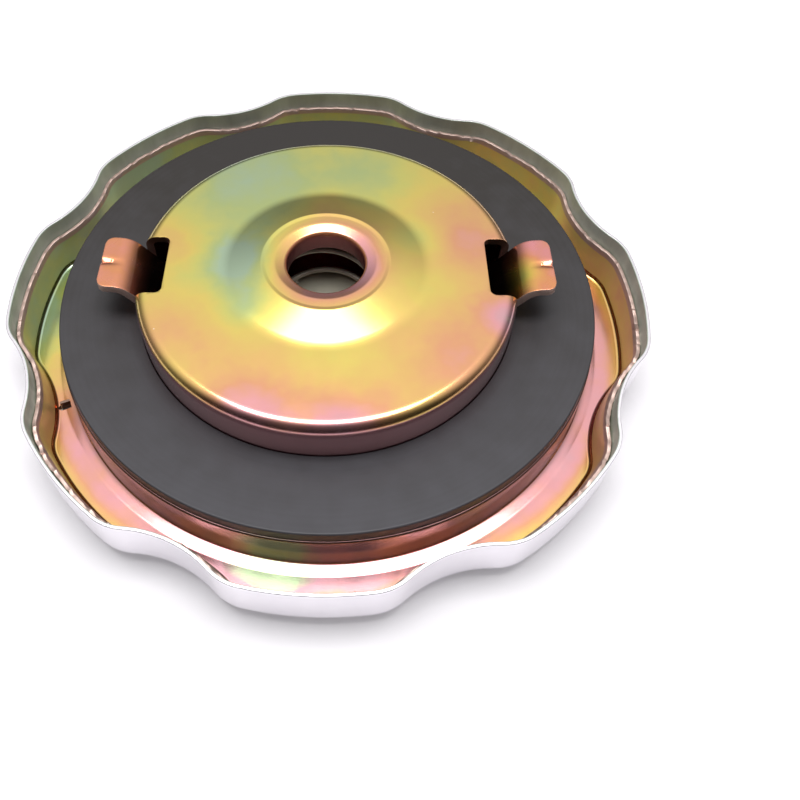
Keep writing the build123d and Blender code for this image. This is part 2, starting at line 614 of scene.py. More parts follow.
def outward_mesh(name: str, made: bmesh.types.BMesh) -> Mesh:
    """Turn a finished bmesh into a mesh whose faces look outwards.

    Args:
        name: Name of the mesh.
        made: The bmesh, which is freed.

    Returns:
        The mesh.
    """
    bmesh.ops.recalc_face_normals(made, faces=made.faces)
    mesh = bpy.data.meshes.new(name)
    made.to_mesh(mesh)
    made.free()
    return mesh


def tidy_normals(obj: Object) -> None:
    """Turn every face outwards and keep hard only the edges that are hard.

    Args:
        obj: The object.
    """
    mesh = bmesh.new()
    mesh.from_mesh(obj.data)
    bmesh.ops.remove_doubles(mesh, verts=mesh.verts, dist=1e-7)
    bmesh.ops.recalc_face_normals(mesh, faces=mesh.faces)
    mesh.to_mesh(obj.data)
    mesh.free()
    obj.data.shade_smooth()
    obj.data.set_sharp_from_angle(angle=math.radians(CREASE))


def bar(name: str, foot: Sequence[Sequence[float]], top: Sequence[Sequence[float]]) -> Object:
    """Straight bar between two outlines of as many corners.

    Args:
        name: Name of the object.
        foot: Corners of one end in order, in millimetres.
        top: Corners of the other end.

    Returns:
        The object.
    """
    made = bmesh.new()
    foot, top = ([made.verts.new([number * MM for number in point]) for point in end] for end in (foot, top))
    made.faces.new(foot)
    made.faces.new(top)
    for i in range(len(foot)):
        j = (i + 1) % len(foot)
        made.faces.new((foot[i], foot[j], top[j], top[i]))
    return placed(name, outward_mesh(name, made))


def prism(name: str, outline: Sequence[tuple[float, float]], low: float, high: float) -> Object:
    """Upright prism over an outline, from one height to another, used as a punch."""
    return bar(name, [(x, y, low) for x, y in outline], [(x, y, high) for x, y in outline])


def punch(obj: Object, tools: Sequence[Object]) -> None:
    """Cut punches out of a piece and take the punches away.

    Args:
        obj: The piece.
        tools: The punches.
    """
    tidy_normals(obj)
    for tool in tools:
        modify(obj, "BOOLEAN", operation="DIFFERENCE", solver="EXACT", object=tool)
    settle(obj)
    for tool in tools:
        bpy.data.objects.remove(tool)


def join(piece: Object, other: Object) -> None:
    """Join another piece into one, and keep the one's finish.

    Args:
        piece: The piece that stays.
        other: The piece that is joined into it.
    """
    made = bmesh.new()
    made.from_mesh(piece.data)
    made.from_mesh(other.data)
    made.to_mesh(piece.data)
    made.free()
    bpy.data.objects.remove(other)


def even_shading(obj: Object) -> None:
    """Let the large faces of a punched piece lead its shading, so that it stays even beside a cut."""
    modify(obj, "WEIGHTED_NORMAL", mode="FACE_AREA", weight=80, keep_sharp=True)
    settle(obj)


def break_edges(obj: Object, width: float, limit: float = 40.0, segments: int = 2) -> None:
    """Break the hard edges of a piece with a small round.

    Args:
        obj: The piece.
        width: Width of the round, in millimetres.
        limit: Angle over which an edge is hard, in degrees.
        segments: Facets across the round.
    """
    values = {"width": width * MM, "segments": segments, "angle_limit": math.radians(limit)}
    modify(obj, "BEVEL", limit_method="ANGLE", harden_normals=False, **values)
    settle(obj)


def paint(
    piece: Object, finishes: Sequence[Material], choose: Callable[[Vector, Vector], int]
) -> None:
    """Give some faces of a piece a finish of their own.

    Args:
        piece: The piece, with its main finish in slot 0.
        finishes: The finishes of slot 1 and on.
        choose: Gives a face's slot from its centre in millimetres and its normal.
    """
    for finish in finishes:
        piece.data.materials.append(finish)
    for face in piece.data.polygons:
        face.material_index = choose(face.center / MM, face.normal)


# ---------------------------------------------------------------------------------------------------
# Finishes
# ---------------------------------------------------------------------------------------------------


class SharedEffects:
    """Shader node groups that more than one finish uses.

    Attributes:
        FILM_COLOURS: Colours of the film from thin to thick.
    """

    FILM_COLOURS = (
        (0.0, (0.42, 0.55, 0.38, 1)),
        (0.14, (0.48, 0.56, 0.22, 1)),
        (0.30, (0.66, 0.62, 0.16, 1)),
        (0.42, (0.78, 0.60, 0.14, 1)),
        (0.56, (0.80, 0.49, 0.16, 1)),
        (0.68, (0.78, 0.37, 0.19, 1)),
        (0.80, (0.79, 0.36, 0.37, 1)),
        (0.90, (0.70, 0.38, 0.42, 1)),
        (1.0, (0.57, 0.70, 0.42, 1)),
    )

    def __init__(self) -> None:
        """Build each group once."""
        self.film = self._film()
        self.patch = self._patch()
        self.grain = self._grain()
        self.specks = self._specks()

    @staticmethod
    def _group(
        name: str, sizes: Mapping[str, float], results: Sequence[str]
    ) -> tuple[Tree, dict[str, Term], bpy.types.NodeInputs, Socket]:
        """Start a shader group.

        Args:
            name: Name of the group.
            sizes: Default of each input by name.
            results: Name of each output.

        Returns:
            The tree, its inputs by name, its outputs by name, and the place on the piece in millimetres.
        """
        tree = bpy.data.node_groups.new(name, "ShaderNodeTree")
        for label in results:
            kind = "NodeSocketColor" if label == "Colour" else "NodeSocketFloat"
            tree.interface.new_socket(name=label, in_out="OUTPUT", socket_type=kind)
        given = inputs_of(tree, sizes)
        out = tree.nodes.new("NodeGroupOutput")
        coordinates = tree.nodes.new("ShaderNodeTexCoord")
        place = tree.nodes.new("ShaderNodeVectorMath")
        place.operation = "SCALE"
        plug(place.inputs["Scale"], 1 / MM)
        plug(place.inputs[0], coordinates.outputs["Object"])
        return tree, given, out.inputs, place.outputs[0]

    def _film(self) -> Tree:
        """Colours of a thin yellow chromate film, which run from green over yellow and orange to pink.

        Returns:
            The group, with a Colour output.
        """
        sizes = {
            "Base": 0.4,
            "Drift X": 0.01,
            "Drift Y": -0.01,
            "Clouds": 0.2,
            "Cloud Size": 8.0,
            "Ring Radius": 0.0,
            "Ring Width": 3.0,
            "Ring Shift": 0.0,
            "Ring Lean": 0.0,
            "Foot Height": -100.0,
            "Foot Value": 0.8,
            "Patches": 0.0,
            "Seed": 1.0,
        }
        tree, given, out, place = self._group("chromate_film", sizes, ["Colour"])
        x, y, z = parts_of(tree, place)
        radius = (x * x + y * y).root()
        foot = z.below(given["Foot Height"])
        clouds = noise_of(tree, place, given["Cloud Size"].inverse(), given["Seed"], 3.0) - 0.5
        streaks = noise_of(tree, place, 0.9, given["Seed"] + 3.0, 4.0) - 0.5
        away = (radius - given["Ring Radius"]) / given["Ring Width"]
        ring = (away * away).fading() * (given["Ring Shift"] + given["Ring Lean"] * x / (radius + 1.0))
        thickness = given["Base"] + x * given["Drift X"] + y * given["Drift Y"] + clouds * given["Clouds"] * 2.0
        thickness = (thickness + ring + given["Patches"]) * (1.0 - foot) + given["Foot Value"] * foot
        thickness = thickness + streaks * given["Clouds"] * 0.5
        plug(out["Colour"], ramp_of(tree, thickness, self.FILM_COLOURS))
        return tree

    def _patch(self) -> Tree:
        """Soft round patch where a film is thicker or thinner.

        Returns:
            The group, with a Shift output.
        """
        sizes = {"X": 0.0, "Y": 0.0, "Size": 5.0, "Shift": 0.1}
        tree, given, out, place = self._group("film_patch", sizes, ["Shift"])
        x, y, _ = parts_of(tree, place)
        rough = noise_of(tree, place, 0.3, 2.0, 3.0) - 0.5
        across, along = x - given["X"], y - given["Y"]
        away = (across * across + along * along) / (given["Size"] * given["Size"]) * (1.0 + rough * 1.2)
        plug(out["Shift"], away.fading() * given["Shift"])
        return tree

    def _grain(self) -> Tree:
        """Fine orange-peel grain of plated sheet, with soft dents.

        Returns:
            The group, with Height and Mask outputs.
        """
        sizes = {"Grain Size": 0.12, "Dent Size": 3.0, "Dents": 0.5, "Draw": 1.0, "Seed": 1.0}
        tree, given, out, place = self._group("sheet_grain", sizes, ["Height", "Mask"])
        x, y, z = parts_of(tree, place)
        drawn = vector_of(tree, x, y, z * given["Draw"])
        fine = noise_of(tree, drawn, given["Grain Size"].inverse(), given["Seed"], 3.0)
        soft = noise_of(tree, drawn, given["Dent Size"].inverse(), given["Seed"] + 2.0, 1.0)
        plug(out["Height"], fine * 0.03 + soft * given["Dents"])
        plug(out["Mask"], noise_of(tree, drawn, 0.35, given["Seed"] + 4.0, 5.0))
        return tree

    def _specks(self) -> Tree:
        """Scattered specks of dust or pits of uneven size.

        Returns:
            The group, with a Mask output that is one on a speck.
        """
        sizes = {"Spacing": 2.5, "Size": 0.08, "Share": 0.35, "Seed": 1.0}
        tree, given, out, place = self._group("scattered_specks", sizes, ["Mask"])
        cells = tree.nodes.new("ShaderNodeTexVoronoi")
        cells.voronoi_dimensions = "4D"
        for name, value in (("Vector", place), ("Scale", given["Spacing"].inverse()), ("W", given["Seed"])):
            plug(cells.inputs[name], value)
        away = Term(tree, cells.outputs["Distance"]) * given["Spacing"]
        pick, size, _ = parts_of(tree, cells.outputs["Color"])
        plug(out["Mask"], away.below(given["Size"] * (size + 0.3)) * pick.below(given["Share"]))
        return tree


EFFECTS = SharedEffects()


class FinishTree:
    """Small helper that writes one material around a Principled shader."""

    def __init__(self, name: str) -> None:
        """Start a material.

        Args:
            name: Name of the material.
        """
        self.material = bpy.data.materials.new(name)
        self.material.use_nodes = True
        self.tree = self.material.node_tree
        self.shader = self.tree.nodes["Principled BSDF"]

    def place(self) -> tuple[Term, Term, Term]:
        """Place on the piece, in metres."""
        return parts_of(self.tree, self.tree.nodes.new("ShaderNodeTexCoord").outputs["Object"])

    def use(self, group: Tree, **sizes: Term | float) -> dict[str, Term]:
        """Place a shared effect with its own values.

        Args:
            group: The effect.
            sizes: Named inputs, with underscores for spaces.

        Returns:
            The effect's outputs by name.
        """
        node = self.tree.nodes.new("ShaderNodeGroup")
        node.node_tree = group
        for name, value in sizes.items():
            plug(node.inputs[name.replace("_", " ")], value)
        return {socket.name: Term(self.tree, socket) for socket in node.outputs}

    def feed(self, **values: object) -> None:
        """Feed the shader's inputs, with underscores for spaces."""
        for name, value in values.items():
            plug(self.shader.inputs[name.replace("_", " ")], value)

    def finish(self, height: Term, strength: float, distance: float, **values: object) -> Material:
        """Feed the shader's normal from a height, and its other inputs.

        Args:
            height: The height, from 0 to 1.
            strength: Strength of the bump.
            distance: Height of one unit, in millimetres.
            values: The shader's other inputs, with underscores for spaces.

        Returns:
            The material.
        """
        node = self.tree.nodes.new("ShaderNodeBump")
        for name, value in (("Strength", strength), ("Distance", distance * MM), ("Height", height)):
            plug(node.inputs[name], value)
        self.feed(Normal=node.outputs[0], **values)
        return self.material


@dataclass(frozen=True)
class ChromateSteel:
    """Yellow chromate over zinc on pressed steel.

    Attributes:
        name: Name of the finish.
        base: Film thickness at the axis, from 0 to 1.
        drift: Change of thickness per millimetre along X and Y.
        clouds: How much the thickness clouds.
        cloud_size: Size of a cloud.
        ring: Radius, width, shift and lean of a ring where the film differs.
        roughness: Roughness of the plating.
        seed: Which pattern.
        foot: Height under which the film has a thickness of its own, and that thickness.
        patches: X, Y, size and shift of each soft patch.
        painted_shade_inside: Distance from the YZ plane within which the plating is painted dark, as painted shade, or
            0.
        painted_shade_ring: Radius, width and share of a ring where the plating is painted dark, as painted shade.
        coat: Weight of the clear seal over the film.
        metal: How metallic the surface still is.
        depth: How deep the film's colour is, 1 for the plain ramp.
    """

    name: str
    base: float
    drift: tuple[float, float] = (0.0, 0.0)
    clouds: float = 0.12
    cloud_size: float = 9.0
    ring: tuple[float, float, float, float] = (0.0, 1.0, 0.0, 0.0)
    roughness: float = 0.24
    seed: float = 1.0
    foot: tuple[float, float] = (-100.0, 0.8)
    patches: tuple[tuple[float, float, float, float], ...] = ()
    painted_shade_inside: float = 0.0
    painted_shade_ring: tuple[float, float, float] = (0.0, 1.0, 0.0)
    coat: float = 0.8
    metal: float = 1.0
    depth: float = 1.0

    def build(self) -> Material:
        """Write the material.

        Returns:
            The material.
        """
        made = FinishTree(self.name)
        tree = made.tree
        spots = [
            made.use(EFFECTS.patch, X=x, Y=y, Size=size, Shift=shift)["Shift"] for x, y, size, shift in self.patches
        ]
        film = made.use(
            EFFECTS.film,
            Foot_Height=self.foot[0],
            Foot_Value=self.foot[1],
            Base=self.base,
            Drift_X=self.drift[0],
            Drift_Y=self.drift[1],
            Clouds=self.clouds,
            Cloud_Size=self.cloud_size,
            Ring_Radius=self.ring[0],
            Ring_Width=self.ring[1],
            Ring_Shift=self.ring[2],
            Ring_Lean=self.ring[3],
            Patches=reduce(Term.__add__, spots),
            Seed=self.seed,
        )
        grain = made.use(EFFECTS.grain, Grain_Size=0.16, Dent_Size=5.0, Dents=0.35, Seed=self.seed)
        pits = made.use(EFFECTS.specks, Spacing=1.6, Size=0.09, Share=0.22, Seed=self.seed)["Mask"]
        rough = grain["Mask"] * 0.16 + (self.roughness - 0.08) + pits * 0.2
        deep = tree.nodes.new("ShaderNodeGamma")
        plug(deep.inputs[0], film["Colour"])
        plug(deep.inputs[1], self.depth)
        colour = blend_of(tree, pits * 0.5, deep.outputs[0], (0.9, 0.85, 0.7, 1))
        x, y, _ = made.place()
        # Painted shade: a ring blended to dark brown, used on the seat wall under the rubber ring.
        if self.painted_shade_ring[2] > 0.0:
            away = ((x * x + y * y).root() / MM - self.painted_shade_ring[0]) / self.painted_shade_ring[1]
            share = (away * away).fading() * self.painted_shade_ring[2]
            colour = blend_of(tree, share, colour, (0.105, 0.046, 0.040, 1))
        # Painted shade: the colour is blended to near black close to the YZ plane.
        if self.painted_shade_inside > 0.0:
            inside = (self.painted_shade_inside - x.step("ABSOLUTE") / MM) * 0.7
            inside = inside.step("MAXIMUM", 0.0).step("MINIMUM", 1.0)
            colour = blend_of(tree, inside, colour, (0.05, 0.042, 0.036, 1))
        values = {"Metallic": self.metal, "Coat_Weight": self.coat, "Coat_Roughness": 0.12}
        return made.finish(grain["Height"], 0.35, 0.05, Base_Color=colour, Roughness=rough, **values)


@dataclass(frozen=True)
class BrightPlate:
    """Plain bright plating, with draw lines and a soft tint.

    Attributes:
        name: Name of the finish.
        colour: Colour of the metal.
        shade: Colour of its duller patches.
        roughness: Roughness of the plating.
        draw: How far the grain is drawn out along the height, below 1.
        dents: How deep the soft dents are.
        seed: Which pattern.
        metal: How metallic the surface still is.
    """

    name: str
    colour: Colour
    shade: Colour
    roughness: float = 0.42
    draw: float = 1.0
    dents: float = 0.5
    seed: float = 1.0
    metal: float = 1.0

    def build(self) -> Material:
        """Write the material.

        Returns:
            The material.
        """
        made = FinishTree(self.name)
        sizes = {"Grain_Size": 0.3, "Dent_Size": 4.0, "Dents": self.dents, "Draw": self.draw, "Seed": self.seed}
        grain = made.use(EFFECTS.grain, **sizes)
        colour = blend_of(made.tree, grain["Mask"], self.colour, self.shade)
        rough = grain["Mask"] * 0.12 + (self.roughness - 0.04)
        return made.finish(grain["Height"], 0.3, 0.06, Base_Color=colour, Roughness=rough, Metallic=self.metal)


@dataclass(frozen=True)
class CollarStainAndShade:
    """Colour of the hole's collar, orange at its rim and wine red below, darker with depth: partly the film's own
    colour, partly painted shade down the hole.

    Attributes:
        name: Name of the finish.
        rim: Height of the rim, in millimetres.
    """

    name: str
    rim: float

    def build(self) -> Material:
        """Write the material.

        Returns:
            The material.
        """
        made = FinishTree(self.name)
        _, _, z = made.place()
        grain = made.use(EFFECTS.grain, Grain_Size=0.2, Dent_Size=2.0, Dents=0.3, Seed=21.0)
        # Darker with depth below the rim: painted shade down the hole.
        depth = (self.rim - z / MM) / 3.0 + (grain["Mask"] - 0.5) * 0.3
        stops = (
            (0.03, (0.86, 0.56, 0.22, 1)),
            (0.16, (0.74, 0.30, 0.14, 1)),
            (0.34, (0.40, 0.10, 0.11, 1)),
            (1.0, (0.20, 0.05, 0.06, 1)),
        )
        values = {"Metallic": 0.7, "Coat_Weight": 0.8, "Coat_Roughness": 0.15}
        colour, rough = ramp_of(made.tree, depth, stops), grain["Mask"] * 0.2 + 0.22
        return made.finish(grain["Height"], 0.3, 0.04, Base_Color=colour, Roughness=rough, **values)


@dataclass(frozen=True)
class MouldedRubber:
    """Black rubber with faint moulding rings, a slight bloom, dust, and a painted sheen that lightens it towards the
    near side.

    Attributes:
        name: Name of the finish.
        colour: Colour of the rubber.
        bloom_and_sheen: Colour of its bloom, and of the painted sheen on its near side.
        roughness: Roughness of the skin.
    """

    name: str
    colour: Colour
    bloom_and_sheen: Colour
    roughness: float

    def build(self) -> Material:
        """Write the material.

        Returns:
            The material.
        """
        made = FinishTree(self.name)
        tree = made.tree
        grain = made.use(EFFECTS.grain, Grain_Size=0.08, Dent_Size=6.0, Dents=0.25, Seed=11.0)
        dust = made.use(EFFECTS.specks, Spacing=2.6, Size=0.11, Share=0.3, Seed=12.0)["Mask"]
        x, y, _ = made.place()
        radius = (x * x + y * y).root() / MM
        rings = noise_of(tree, vector_of(tree, radius, 0.0, 0.0), 3.2, 13.0, 3.0)
        # The bloom share also grows towards -Y: a painted sheen on the near side.
        bloom_and_sheen = grain["Mask"] * 0.5 + rings * 0.2 - y / (64.0 * MM)
        colour = blend_of(tree, bloom_and_sheen, self.colour, self.bloom_and_sheen)
        colour = blend_of(tree, dust * 0.55, colour, (0.42, 0.4, 0.4, 1))
        rough = grain["Mask"] * 0.14 + (self.roughness - 0.06)
        height = rings * 0.5 + grain["Height"]
        values = {"Metallic": 0.0, "Specular_IOR_Level": 0.4}
        return made.finish(height, 0.35, 0.03, Base_Color=colour, Roughness=rough, **values)


# Light cream on cut edges: partly the bare sheared steel, partly a painted highlight where the edges catch the light.
SHEARED_AND_HIGHLIGHT = BrightPlate(
    "sheared_edge_and_highlight", (0.80, 0.60, 0.53, 1), (0.56, 0.40, 0.35, 1), roughness=0.46, dents=0.9, seed=14.0, metal=0.7
).build()


# ---------------------------------------------------------------------------------------------------
# Sub-assemblies
# ---------------------------------------------------------------------------------------------------


class Body(Enum):
    """Moving bodies of the cap."""

    CAP = "cap"
    LOCK = "lock"


def seat_on(piece: Object, body: Body, node: str) -> None:
    """Seat a finished piece on its body and let it stand for its plain solid.

    Args:
        piece: The piece.
        body: The body that carries it.
        node: The solid that it stands for, which has its material slot's name.
    """
    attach(piece, body.value)
    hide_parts(node)
    LOG.info("%s: %d faces on %s", piece.name, len(piece.data.polygons), body.value)


@dataclass
class GripSkirt:
    """Grip shell and inner plate: two lobed pans, one inside the other.

    Attributes:
        outline: Lobed outline of the shell.
        shell_steps: Stations around the shell.
        plate_steps: Stations around the plate.
        floor: Inset at which the pans' floors leave the lobes, and the radius at which they turn round.
        shell_thickness: Wall of the shell.
        shell_height: Height of the shell.
        shell_lip: Wall of the shell at its rim, where the sheet is drawn thin.
        shell_edge_radius: Bend between outer face and skirt.
        plate_thickness: Wall of the plate.
        clearance: Gap between the two skirts.
        setback: How far the plate's flange ends below the shell's rim.
        plate_edge_radius: Bend between the plate's ring and its flange.
        seat_radius: Radius of the seat's foot.
        seat_draft: How far the seat's wall leans in.
        seat_top: Height of the seat's rim.
        seat_dish: How far the seat falls towards the cup.
        foot_rise: Width and height of the shallow rise beside the seat's foot.
        ring_rise: How far the ring rises towards the flange.
        bore_radius: Radius of the recess for the cup.
        recess_floor: Height of the recess floor.
        rim_bend: Bend of the seat's rim.
        bore_bend: Bend of the recess's corners.
        recess_bend: Bend under the recess.
        foot_bend: Bend of the shallow rise.
        flare: How far the flange's edge leans out to the shell.
        inner_bend: Bend between the ring and the flange on the inside.
        burr: Width of the flange's sheared rim as a share of its wall, and depth of its slope.
        bright_band: Height of the bright band under the flange's rim.
        flange_from: Radius and height over the ring from which the flange has its own finish.
        vent: Direction, inner and outer distance and width of the vent slit.
        lip: Height and width of the slit's lip.
        lip_root: How deep the lip's foot lies in the ring.
        lip_reach: Distance from the slit's middle within which the lip lies.
    """

    outline: LobedOutline = field(default_factory=LobedOutline)
    shell_steps: int = 720
    plate_steps: int = 540
    floor: tuple[float, float] = (4.2, 30.0)
    shell_thickness: float = 0.6
    shell_height: float = 8.3
    shell_lip: float = 0.4
    shell_edge_radius: float = 2.6
    plate_thickness: float = 0.8
    clearance: float = 0.12
    setback: float = 2.25
    plate_edge_radius: float = 1.88
    seat_radius: float = 32.4
    seat_draft: float = 0.2
    seat_top: float = 6.53
    seat_dish: float = 1.1
    foot_rise: tuple[float, float] = (1.3, 0.195)
    ring_rise: float = 0.04
    bore_radius: float = 22.65
    recess_floor: float = 2.45
    rim_bend: float = 0.2
    bore_bend: float = 0.3
    recess_bend: float = 0.4
    foot_bend: float = 1.6
    flare: float = 0.2
    inner_bend: float = 0.5
    burr: tuple[float, float] = (0.55, 0.6)
    bright_band: float = 0.55
    flange_from: tuple[float, float] = (33.5, 0.6)
    vent: tuple[float, float, float, float] = (203.4, 33.0, 34.6, 0.8)
    lip: tuple[float, float] = (0.35, 0.6)
    lip_root: float = 0.4
    lip_reach: float = 1.2

    def shell_section(self) -> list[Corner]:
        """Section of the shell, from the outer face's middle over the rim to the inner face's middle.

        Returns:
            The section's points.
        """
        wall, top = self.shell_thickness, self.shell_height
        inset, radius = self.floor
        return bent(
            [
                *turned((0.0, 0.0), (radius, 0.0)),
                Corner(inset, 0.0),
                Corner(0.0, 0.0, self.shell_edge_radius),
                Corner(0.0, top, SHEARED_ROUND, edge=1),
                Corner(self.shell_lip, top, SHEARED_ROUND, edge=1),
                Corner(wall, wall, self.shell_edge_radius - wall),
                Corner(inset, wall),
                *turned((radius, wall), (0.0, wall)),
            ]
        )

    def plate_section(self) -> list[Corner]:
        """Section of the plate, from the recess floor's underside round the flange to its upper side.

        Returns:
            The section's points.
        """
        wall, skin = self.plate_thickness, self.shell_thickness
        side, top = skin + self.clearance, self.shell_height - self.setback
        ring = skin + wall
        seat, high = self.seat_radius, self.seat_top
        rim = seat - self.seat_draft
        bore, floor = self.bore_radius, self.recess_floor
        dish = high - self.seat_dish
        lean, slope = side - self.flare, ring + self.ring_rise
        rise_width, rise = self.foot_rise
        share, fall = self.burr
        return bent(
            [
                *turned(
                    (0.0, floor - wall),
                    (bore + wall, floor - wall, self.recess_bend),
                    (bore + wall, dish - wall, self.bore_bend),
                    (rim - wall, high - wall, self.rim_bend),
                    (seat - wall, skin, self.bore_bend + wall),
                    (seat + 0.6, skin),
                ),
                Corner(side, skin, self.plate_edge_radius),
                Corner(lean, top, 0.1, edge=1),
                Corner(lean + wall * share, top, SHEARED_ROUND, edge=1),
                Corner(lean + wall * 0.8, top - fall),
                Corner(side + wall, slope, self.inner_bend),
                Corner(side + wall + self.inner_bend + 0.06, slope),
                *turned(
                    (seat + rise_width + 0.17, ring),
                    (seat + rise_width, ring, self.foot_bend),
                    (seat + 0.02, ring + rise, SHEARED_ROUND),
                    (rim, high, self.rim_bend),
                    (bore, dish, self.bore_bend),
                    (bore, floor, self.bore_bend),
                    (0.0, floor),
                ),
            ]
        )

    def vent_punch(self) -> Object:
        """Punch of the pointed vent slit in the flat ring.

        Returns:
            The punch.
        """
        angle, inner, outer, width = self.vent
        half = width / 2
        shape = [(inner, -half), (outer - half, -half), (outer, 0.0), (outer - half, half), (inner, half)]
        turn = Matrix.Rotation(math.radians(angle), 2)
        outline = [tuple(turn @ Vector(point)) for point in shape]
        return prism("vent_punch", outline, self.shell_thickness - 0.2, 2.4)

    def vent_lip(self) -> Object:
        """Low lip that the lance raised along one side of the slit.

        Returns:
            The lip.
        """
        angle, inner, outer, width = self.vent
        ring = self.shell_thickness + self.plate_thickness
        high, wide = self.lip
        near, far, root = -width / 2, -width / 2 - wide, -self.lip_root
        turn = Matrix.Rotation(math.radians(angle), 3, "Z")
        section = [(near, root), (near, high), (far, 0.0), (far, root)]
        ends = [[turn @ Vector((reach, t, ring + z)) for t, z in section] for reach in (inner, outer - width / 2)]
        lip = bar("vent_lip", *ends)
        break_edges(lip, 0.06)
        return lip

    def build_shell(self, tree: PressedSheetTree) -> None:
        """Build, dress and seat the grip shell.

        Args:
            tree: The tree that sweeps its section.
        """
        bright = BrightPlate(
            "bright_shell", (0.97, 0.94, 0.98, 1), (0.84, 0.81, 0.86, 1), roughness=0.22, draw=0.25, dents=0.8, seed=2.0
        ).build()
        # Painted reflection: the skirt's inside gets a green-grey tint for the yellow-green plate it reflects, on a
        # dull, barely metallic finish.
        dull = BrightPlate(
            "shell_inside_painted_reflection",
            (0.80, 0.90, 0.80, 1),
            (0.28, 0.32, 0.27, 1),
            roughness=0.45,
            draw=0.3,
            dents=0.9,
            seed=7.0,
            metal=0.2,
        ).build()
        # Painted shade: the shell's floor under the plate, seen through the vent slit, is near black.
        blind = BrightPlate("shell_floor_painted_shade", (0.05, 0.045, 0.04, 1), (0.02, 0.02, 0.02, 1), roughness=0.6, metal=0.0)
        sizes = {"Steps": self.shell_steps, "Edge_Waver": 0.05, "Seed": 3.0, **self.outline.sizes()}
        shell = tree.sweep("grip_shell", self.shell_section(), Finish=bright, **sizes)
        tidy_normals(shell)

        def slot(place: Vector, normal: Vector) -> int:
            """1 on the inside of the skirt, 2 on the hidden floor, else 0.

            Args:
                place: A face's centre, in millimetres.
                normal: Its outward direction.

            Returns:
                The face's material slot.
            """
            spoke = place.to_2d()
            if place.z > 0.5 and spoke.length > 1.0 and normal.to_2d().dot(spoke.normalized()) < -0.3:
                return 1
            return 2 if 0.3 < place.z < 2.5 and normal.z > 0.3 else 0

        paint(shell, [dull, blind.build()], slot)
        seat_on(shell, Body.CAP, "outer_shell")

    def build_plate(self, tree: PressedSheetTree) -> None:
        """Build, dress and seat the inner plate.

        Args:
            tree: The tree that sweeps its section.
        """
        ring = ChromateSteel(
            "chromate_plate",
            base=0.80,
            clouds=0.16,
            cloud_size=7.0,
            ring=(36.4, 1.1, -0.24, 0.0),
            roughness=0.19,
            seed=5.0,
            # Painted shade on the seat wall under the rubber ring's edge.
            painted_shade_ring=(32.2, 0.5, 1.0),
            patches=(
                (-36.0, 0.0, 7.0, -0.62),
                (-33.0, -9.0, 4.5, -0.18),
                (-6.0, -34.6, 4.6, 0.26),
                (4.5, -36.0, 2.6, 0.08),
                (-34.0, 12.0, 8.0, -0.5),
                (19.0, -30.5, 3.0, -0.1),
                (0.0, 36.0, 14.0, -0.5),
                (30.0, 22.0, 12.0, -0.3),
                (-24.0, 27.0, 9.0, -0.62),
            ),
        ).build()
        flange = ChromateSteel(
            "chromate_flange",
            base=0.36,
            drift=(0.005, -0.004),
            clouds=0.22,
            cloud_size=4.0,
            roughness=0.4,
            seed=16.0,
            patches=((-34.0, -13.0, 7.0, 0.3), (8.0, 37.0, 5.0, -0.12), (-30.0, 20.0, 8.0, -0.2)),
            coat=0.3,
            metal=0.4,
            depth=0.75,
        ).build()
        sizes = {"Steps": self.plate_steps, "Edge_Waver": 1.0, "Seed": 8.0, **self.outline.sizes()}
        plate = tree.sweep("pressed_plate", self.plate_section(), Finish=ring, **sizes)
        punch(plate, [self.vent_punch()])
        join(plate, self.vent_lip())
        tidy_normals(plate)
        even_shading(plate)
        angle, inner, outer, _ = self.vent
        vent = Matrix.Rotation(math.radians(angle), 2) @ Vector(((inner + outer) / 2, 0.0))
        edge = self.shell_height - self.setback - self.bright_band
        top = self.shell_thickness + self.plate_thickness
        flange_radius, flange_height = self.flange_from

        def slot(place: Vector, _: Vector) -> int:
            """1 on the flange's sheared rim and the slit's lip, 2 on the flange, else 0.

            Args:
                place: A face's centre, in millimetres.
                _: Its outward direction, which makes no difference.

            Returns:
                The face's material slot.
            """
            spoke = place.to_2d()
            if spoke.length > flange_radius and place.z > top + self.ring_rise + flange_height:
                return 1 if place.z > edge else 2
            raised = top + 0.15 < place.z < top + 0.6
            return int(raised and (spoke - vent).length < self.lip_reach and spoke.length < outer - 0.1)

        paint(plate, [SHEARED_AND_HIGHLIGHT, flange], slot)
        seat_on(plate, Body.CAP, "inner_plate")


@dataclass
class SealRing:
    """Rubber ring of even thickness that follows the seat's dish.

    Attributes:
        inner: Inner radius.
        outer: Outer radius.
        face: Height of its rim.
        thickness: Its thickness.
        dish: How far it falls towards the cup.
        outer_bend: Round of its outer upper edge.
        steps: Stations around it.
    """

    inner: float = 22.65
    outer: float = 32.0
    face: float = 8.05
    thickness: float = 1.5
    dish: float = 1.1
    outer_bend: float = 0.22
    steps: int = 720

    def build(self, tree: PressedSheetTree) -> None:
        """Build, dress and seat the ring.

        Args:
            tree: The tree that turns its section.
        """
        rubber = MouldedRubber("black_rubber", (0.019, 0.015, 0.013, 1), (0.066, 0.064, 0.074, 1), 0.42).build()
        low = self.face - self.dish
        corners = turned(
            (self.inner, low, SHEARED_ROUND),
            (self.outer, self.face, self.outer_bend),
            (self.outer, self.face - self.thickness, SHEARED_ROUND),
            (self.inner, low - self.thickness, SHEARED_ROUND),
        )
        ring = tree.sweep("rubber_ring", bent(corners, closed=True), Steps=self.steps, Finish=rubber)
        tidy_normals(ring)
        seat_on(ring, Body.CAP, "gasket")


